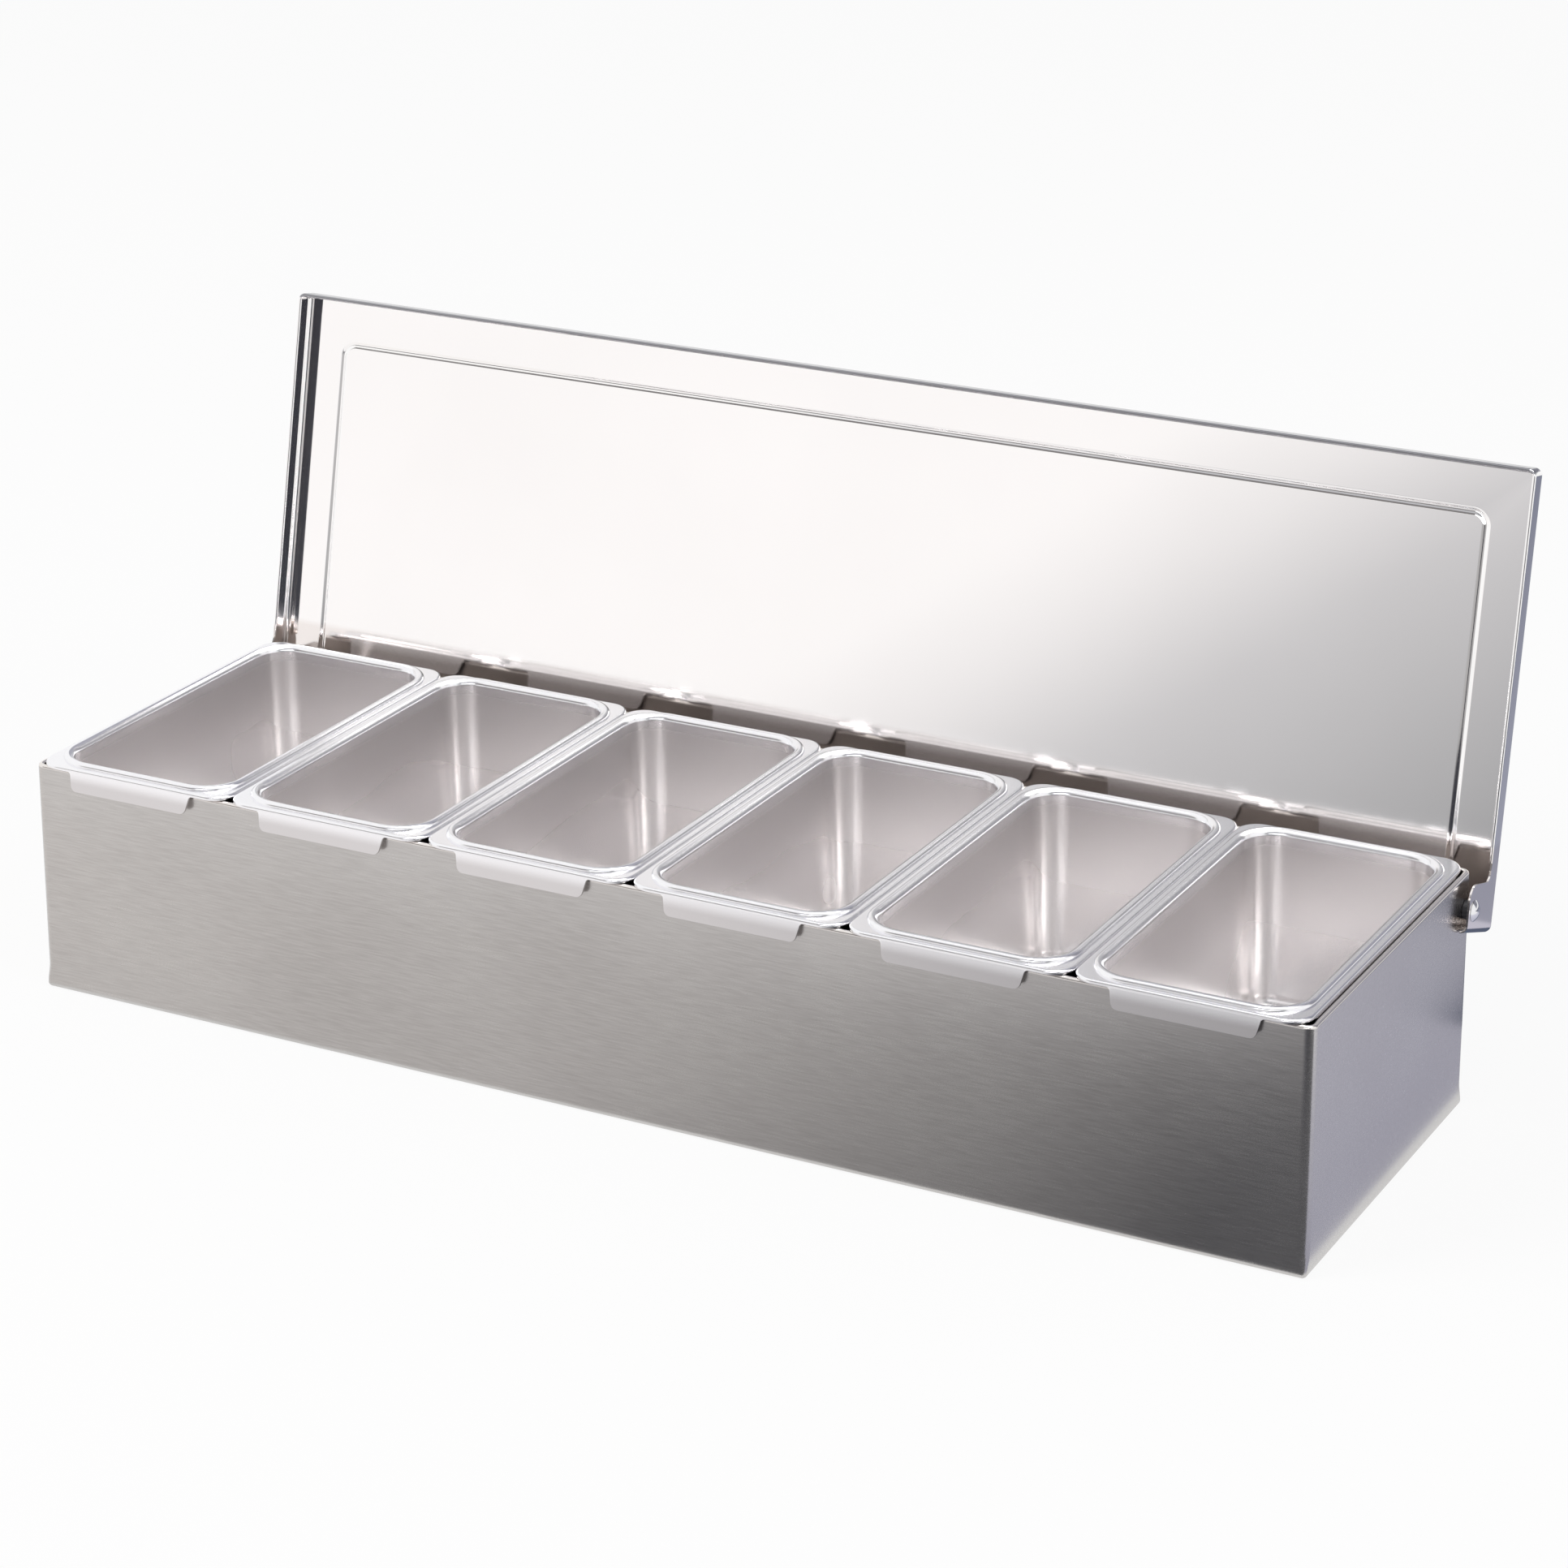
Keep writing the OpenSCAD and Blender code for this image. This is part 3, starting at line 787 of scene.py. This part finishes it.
# ------------------------------------------------------------------ the hinge
@dataclass
class HingeRivet:
    """A rivet with a low dome outside the ear and a flat tail inside the box."""

    side: str
    box: Box
    material: bpy.types.Material
    shank_r: float = 2.5 * MM
    head_r: float = 4.5 * MM
    head_h: float = 2.0 * MM
    tail_r: float = 3.5 * MM
    tail_h: float = 1.2 * MM
    tail_chamfer: float = 0.3 * MM

    def build(self) -> bpy.types.Object:
        """Spins the rivet's outline about the hinge line.

        Returns:
            The piece, riding on the fixed body.
        """
        low, high = self.box
        length = high.x - low.x
        dome_r = (self.head_r ** 2 + self.head_h ** 2) / (2 * self.head_h)
        half = math.degrees(math.asin(self.head_r / dome_r))
        outline = [(0, 0), (self.tail_r - self.tail_chamfer, 0), (self.tail_r, self.tail_chamfer),
                   (self.tail_r, self.tail_h), (self.shank_r, self.tail_h),
                   (self.shank_r, length - self.head_h), (self.head_r, length - self.head_h)]
        outline += arc((0, length - dome_r), dome_r, 90 - half, 90, 10)[1:]
        bm = bmesh.new()
        verts = [bm.verts.new((along, radius, 0)) for radius, along in outline]
        edges = [bm.edges.new(pair) for pair in zip(verts, verts[1:])]
        bmesh.ops.spin(bm, geom=verts + edges, cent=(0, 0, 0), axis=(1, 0, 0), angle=2 * math.pi,
                       steps=TURNED_STEPS, use_merge=True)
        bmesh.ops.remove_doubles(bm, verts=bm.verts, dist=TINY)
        if self.side == "left":
            bmesh.ops.scale(bm, vec=(-1, 1, 1), verts=bm.verts)
        start = low.x if self.side == "right" else high.x
        middle = (low + high) / 2
        bmesh.ops.translate(bm, vec=(start, middle.y, middle.z), verts=bm.verts)
        bmesh.ops.recalc_face_normals(bm, faces=bm.faces)
        piece = finished_piece(bm, f"hinge_rivet_{self.side}_turned", self.material)
        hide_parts(f"hinge_rivet_{self.side}")
        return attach(piece, "base")


@dataclass
class HingeSpacer:
    """The ring that holds an ear off the box."""

    side: str
    box: Box
    material: bpy.types.Material
    bore_r: float = 2.6 * MM
    edge_round: float = 0.25 * MM

    def build(self) -> bpy.types.Object:
        """Spins the ring about the hinge line.

        Returns:
            The piece, riding on the fixed body.
        """
        low, high = self.box
        radius = (high.z - low.z) / 2
        middle = (low + high) / 2
        bm = bmesh.new()
        corners = [(low.x, self.bore_r), (high.x, self.bore_r), (high.x, radius - self.edge_round),
                   (high.x - self.edge_round, radius), (low.x + self.edge_round, radius),
                   (low.x, radius - self.edge_round)]
        verts = [bm.verts.new((x, out, 0)) for x, out in corners]
        edges = [bm.edges.new(pair) for pair in zip(verts, verts[1:] + verts[:1])]
        bmesh.ops.spin(bm, geom=verts + edges, cent=(0, 0, 0), axis=(1, 0, 0), angle=2 * math.pi,
                       steps=TURNED_STEPS, use_merge=True)
        bmesh.ops.remove_doubles(bm, verts=bm.verts, dist=TINY)
        bmesh.ops.translate(bm, vec=(0, middle.y, middle.z), verts=bm.verts)
        bmesh.ops.recalc_face_normals(bm, faces=bm.faces)
        piece = finished_piece(bm, f"hinge_spacer_{self.side}_turned", self.material)
        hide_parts(f"hinge_spacer_{self.side}")
        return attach(piece, "base")


# ------------------------------------------------------------------ the studio
@dataclass(frozen=True)
class Card:
    """A studio card that only the steel's reflections see, shaded from end to end."""

    name: str
    middle: tuple[float, float, float]
    size: tuple[float, float]
    turn_deg: tuple[float, float, float]
    stops: tuple[tuple[float, Colour], ...]
    slant: float = 0.0

    def build(self) -> bpy.types.Object:
        """Builds the card in its place.

        Returns:
            The card, hidden from all but glossy rays.
        """
        bm = bmesh.new()
        bmesh.ops.create_grid(bm, x_segments=1, y_segments=1, size=0.5)
        bmesh.ops.scale(bm, vec=(*self.size, 1.0), verts=bm.verts)
        made = bpy.data.materials.new(self.name)
        made.use_nodes = True
        nodes = made.node_tree.nodes
        links = made.node_tree.links
        nodes.clear()
        place = nodes.new("ShaderNodeTexCoord")
        along = nodes.new("ShaderNodeVectorMath")
        along.operation = "DOT_PRODUCT"
        along.inputs[1].default_value = (1.0, self.slant, 0.0)
        spread = nodes.new("ShaderNodeMapRange")
        ramp = nodes.new("ShaderNodeValToRGB")
        glow = nodes.new("ShaderNodeEmission")
        out = nodes.new("ShaderNodeOutputMaterial")
        spread.inputs["From Min"].default_value = -self.size[0] / 2
        spread.inputs["From Max"].default_value = self.size[0] / 2
        while len(ramp.color_ramp.elements) < len(self.stops):
            ramp.color_ramp.elements.new(0.5)
        for element, (position, colour) in zip(ramp.color_ramp.elements, self.stops):
            element.position = position
            element.color = (*colour, 1.0)
        links.new(place.outputs["Object"], along.inputs[0])
        links.new(along.outputs["Value"], spread.inputs["Value"])
        links.new(spread.outputs["Result"], ramp.inputs["Fac"])
        links.new(ramp.outputs["Color"], glow.inputs["Color"])
        links.new(glow.outputs["Emission"], out.inputs["Surface"])
        card = finished_piece(bm, self.name, made)
        card.location = self.middle
        card.rotation_euler = [math.radians(angle) for angle in self.turn_deg]
        card.visible_camera = False
        card.visible_diffuse = False
        card.visible_shadow = False
        card.visible_transmission = False
        return card


@dataclass
class Studio:
    """White floor and surroundings, soft lamps, reflection cards and the photograph's camera."""

    camera_at: tuple[float, float, float] = (0.82380, -1.50497, 0.79075)
    camera_looks: tuple[float, float, float] = (-0.44674, 0.84234, -0.30148)
    camera_roll_deg: float = -0.136
    focal_px: float = 5420.04
    sensor: float = 36.0
    axis_above_middle_px: float = 366.0
    floor_half: float = 6.0
    ambient: float = 0.55

    def _camera(self) -> bpy.types.Object:
        """Places the camera of the photograph.

        Returns:
            The camera, which is the scene's own.
        """
        data = bpy.data.cameras.new("camera")
        data.sensor_width = self.sensor
        data.lens = self.focal_px / PHOTO_PX * self.sensor
        data.shift_y = -self.axis_above_middle_px / PHOTO_PX
        data.clip_end = 50.0
        camera = bpy.data.objects.new("camera", data)
        looks = Vector(self.camera_looks)
        roll = Matrix.Rotation(math.radians(self.camera_roll_deg), 4, "Z")
        turn = looks.to_track_quat("-Z", "Y").to_matrix().to_4x4()
        camera.matrix_world = Matrix.Translation(self.camera_at) @ turn @ roll
        bpy.context.scene.collection.objects.link(camera)
        bpy.context.scene.camera = camera
        return camera

    def _seen_directly(self, tree: bpy.types.NodeTree) -> bpy.types.NodeSocket:
        """Adds nodes that are 1 for camera, glossy and transmission rays.

        Args:
            tree: The nodes of a world or a material.

        Returns:
            The output of the last node.
        """
        rays = tree.nodes.new("ShaderNodeLightPath")
        total = rays.outputs["Is Camera Ray"]
        for kind in ("Is Glossy Ray", "Is Transmission Ray"):
            either = tree.nodes.new("ShaderNodeMath")
            either.operation = "ADD"
            either.use_clamp = True
            tree.links.new(total, either.inputs[0])
            tree.links.new(rays.outputs[kind], either.inputs[1])
            total = either.outputs[0]
        return total

    def _world(self) -> None:
        """Makes white surroundings for the eye and reflections, and ambient light for the rest."""
        world = bpy.data.worlds.new("studio")
        world.use_nodes = True
        tree = world.node_tree
        tree.nodes.clear()
        white = tree.nodes.new("ShaderNodeBackground")
        soft = tree.nodes.new("ShaderNodeBackground")
        soft.inputs["Strength"].default_value = self.ambient
        white.inputs["Color"].default_value = (1, 1, 1, 1)
        soft.inputs["Color"].default_value = (1, 1, 1, 1)
        mix = tree.nodes.new("ShaderNodeMixShader")
        out = tree.nodes.new("ShaderNodeOutputWorld")
        tree.links.new(self._seen_directly(tree), mix.inputs["Fac"])
        tree.links.new(soft.outputs[0], mix.inputs[1])
        tree.links.new(white.outputs[0], mix.inputs[2])
        tree.links.new(mix.outputs[0], out.inputs["Surface"])
        bpy.context.scene.world = world

    def _floor(self) -> bpy.types.Object:
        """Lays the white floor, which keeps a soft shadow.

        Returns:
            The floor.
        """
        made = bpy.data.materials.new("floor_white")
        made.use_nodes = True
        tree = made.node_tree
        tree.nodes.clear()
        matt = tree.nodes.new("ShaderNodeBsdfDiffuse")
        matt.inputs["Color"].default_value = (0.9, 0.9, 0.9, 1)
        glow = tree.nodes.new("ShaderNodeEmission")
        share = tree.nodes.new("ShaderNodeMapRange")
        share.inputs["To Max"].default_value = 0.9
        mix = tree.nodes.new("ShaderNodeMixShader")
        out = tree.nodes.new("ShaderNodeOutputMaterial")
        tree.links.new(self._seen_directly(tree), share.inputs["Value"])
        tree.links.new(share.outputs["Result"], mix.inputs["Fac"])
        tree.links.new(matt.outputs[0], mix.inputs[1])
        tree.links.new(glow.outputs[0], mix.inputs[2])
        tree.links.new(mix.outputs[0], out.inputs["Surface"])
        bm = bmesh.new()
        bmesh.ops.create_grid(bm, x_segments=1, y_segments=1, size=self.floor_half)
        bmesh.ops.translate(bm, vec=(0, 0, -0.2 * MM), verts=bm.verts)
        return finished_piece(bm, "floor", made)

    def _lamp(self, name: str, at: tuple[float, float, float], size: float, power: float,
              colour: Colour) -> bpy.types.Object:
        """Hangs a square soft lamp that looks at the caddy.

        Args:
            name: Name of the lamp.
            at: Where it hangs.
            size: Length of its side.
            power: Power in watts.
            colour: Colour of its light.

        Returns:
            The lamp, which reflections don't show.
        """
        data = bpy.data.lights.new(name, "AREA")
        data.size = size
        data.energy = power
        data.color = colour
        lamp = bpy.data.objects.new(name, data)
        lamp.location = at
        lamp.rotation_euler = (Vector((0, 0, 0.1)) - Vector(at)).to_track_quat("-Z", "Y").to_euler()
        lamp.visible_glossy = False
        bpy.context.scene.collection.objects.link(lamp)
        return lamp

    def _cards(self) -> list[bpy.types.Object]:
        """Builds the reflection cards: what the steel sees of a darker room.

        Returns:
            The cards, in their places.
        """
        cards = [
            Card("near_floor_card", (-0.15, -0.18, 0.0006), (1.5, 0.18), (0, 0, 0),
                 ((0.30, (0.95, 0.92, 0.90)), (0.56, (0.68, 0.66, 0.65)),
                  (0.76, (0.14, 0.14, 0.15)))),
            Card("front_floor_card", (-0.05, -0.87, 0.0006), (2.6, 1.2), (0, 0, 0),
                 ((0.25, (1.0, 0.98, 0.97)), (0.52, (0.90, 0.885, 0.885)),
                  (0.65, (0.15, 0.15, 0.17)), (0.69, (0.04, 0.04, 0.05)))),
            Card("side_floor_card", (0.40, 0.25, 0.0006), (0.20, 0.68), (0, 0, 0),
                 ((0.0, (0.50, 0.50, 0.60)), (1.0, (0.76, 0.76, 0.84)))),
            Card("far_front_card", (0.2, -2.4, 0.25), (5.2, 0.9), (90, 0, 0),
                 ((0.245, (1.0, 0.98, 0.975)), (0.28, (0.86, 0.84, 0.84)),
                  (0.32, (0.62, 0.61, 0.62)), (0.42, (0.34, 0.34, 0.35)),
                  (0.58, (0.04, 0.04, 0.05))), -1.3),
            Card("high_rear_card", (1.6, 2.6, 3.9), (7.0, 7.0), (90, 0, 0),
                 ((0.35, (0.40, 0.40, 0.45)), (0.65, (0.24, 0.24, 0.28)))),
            Card("window_card", (0.95, -2.55, 1.3), (2.9, 1.0), (90, 0, 0),
                 ((0.0, (1.9, 1.9, 1.92)), (1.0, (1.7, 1.7, 1.72)))),
            Card("dark_front_card", (-1.55, -2.5, 1.43), (2.1, 1.5), (90, 0, 0),
                 ((0.0, (0.50, 0.49, 0.48)), (0.35, (0.22, 0.21, 0.21)))),
            Card("mid_front_card", (0.45, -2.36, 0.45), (1.3, 0.5), (90, 0, 0),
                 ((0.0, (0.50, 0.49, 0.49)), (1.0, (0.40, 0.39, 0.39)))),
            Card("behind_floor_card", (-0.035, 0.58, 0.0007), (0.73, 0.84), (0, 0, 0),
                 ((0.0, (0.10, 0.12, 0.18)), (1.0, (0.10, 0.12, 0.18)))),
            Card("high_front_card", (0.0, -2.7, 2.6), (8.0, 3.4), (90, 0, 0),
                 ((0.24, (1.0, 0.99, 0.985)), (0.33, (0.55, 0.55, 0.57)), (0.6, (0.3, 0.3, 0.32)))),
            Card("overhead_card", (0.65, -0.2, 2.2), (1.6, 1.2), (0, 0, 0),
                 ((0.0, (8.0, 7.9, 7.9)), (1.0, (7.0, 6.9, 6.9)))),
            Card("rear_floor_card", (0.70, 0.745, 0.0009), (0.72, 0.95), (0, 0, 0),
                 ((0.0, (0.34, 0.35, 0.43)), (0.5, (0.15, 0.16, 0.21)))),
        ]
        return [card.build() for card in cards]

    def build(self) -> None:
        """Builds the studio: camera, world, lamps, floor and reflection cards."""
        self._camera()
        self._world()
        lamps = [self._lamp("key", (-1.6, -1.6, 2.2), 1.6, 38.0, (1.0, 0.98, 0.96)),
                 self._lamp("fill", (2.0, -0.4, 1.6), 1.4, 14.0, (0.93, 0.95, 1.0))]
        self._floor()
        self._cards()


# ------------------------------------------------------------------ the caddy
# The pans' steel carries painted reflections and shade in four zones.
PAN_SATIN = Steel("pan_satin_steel_painted_light", (0.98, 0.963, 0.96), (0.945, 0.928, 0.924), 0.25, 0.04,
                  Grain.NONE, 0.0,
                  # painted shade: darker towards the rear, over the rear wall, rim and tab
                  painted_light_zones=(PaintedLightZone((0.83, 0.81, 0.81), 0.27, "Y", 62.0 * MM, 80.0 * MM),
                         # painted shade: the upper walls, darker from z = 58 mm up to the rim
                         PaintedLightZone((0.75, 0.73, 0.73), 0.30, "Z", 58.0 * MM, 97.0 * MM),
                         # painted reflection: the front and rear tabs, darker
                         PaintedLightZone((0.67, 0.65, 0.655), 0.15, "Y", 88.0 * MM, 88.4 * MM, True),
                         # painted reflection: the beaded rim and lip, a lavender grey
                         PaintedLightZone((0.92, 0.915, 0.935), 0.2, "Z", 100.0 * MM, 105.0 * MM)))
HINGE_BRIGHT = Steel("hinge_bright_steel", (0.88, 0.88, 0.89), (0.80, 0.80, 0.82), 0.15, 0.03,
                     Grain.NONE, 0.0)
# Near-black: painted shade of the gap between ear and box wall, where the spacer sits.
SPACER_BLACK = Steel("spacer_black_painted_shade", (0.035, 0.035, 0.04), (0.025, 0.025, 0.03), 0.5, 0.05,
                     Grain.NONE, 0.0, metallic=0.0)


def main() -> None:
    """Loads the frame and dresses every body."""
    logging.basicConfig(level=logging.INFO, format="%(name)s: %(message)s")
    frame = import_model()
    hinge_joint = next(joint for joint in frame["joints"] if joint["type"] == "hinge")
    numbers = [int(node[4:]) for node in frame["nodes"] if node.startswith("pan_")]
    pan_steel = PAN_SATIN.material()
    hinge_steel = HINGE_BRIGHT.material()
    spacer_black = SPACER_BLACK.material()
    builders = [BoxShell(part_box("box")),
                TrayLid(Vector(hinge_joint["pos_m"]))]
    builders += [Pan(number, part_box(f"pan_{number}"), pan_steel) for number in sorted(numbers)]
    for side in ("left", "right"):
        builders.append(HingeRivet(side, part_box(f"hinge_rivet_{side}"), hinge_steel))
        builders.append(HingeSpacer(side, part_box(f"hinge_spacer_{side}"), spacer_black))
    for builder in builders:
        piece = builder.build()
        LOG.info("%s: %d faces before modifiers", piece.name, len(piece.data.polygons))
    Studio().build()
    bpy.context.scene.view_settings.view_transform = "Standard"
    bpy.context.scene.cycles.glossy_bounces = GLOSSY_BOUNCES


if __name__ == "__main__":
    main()
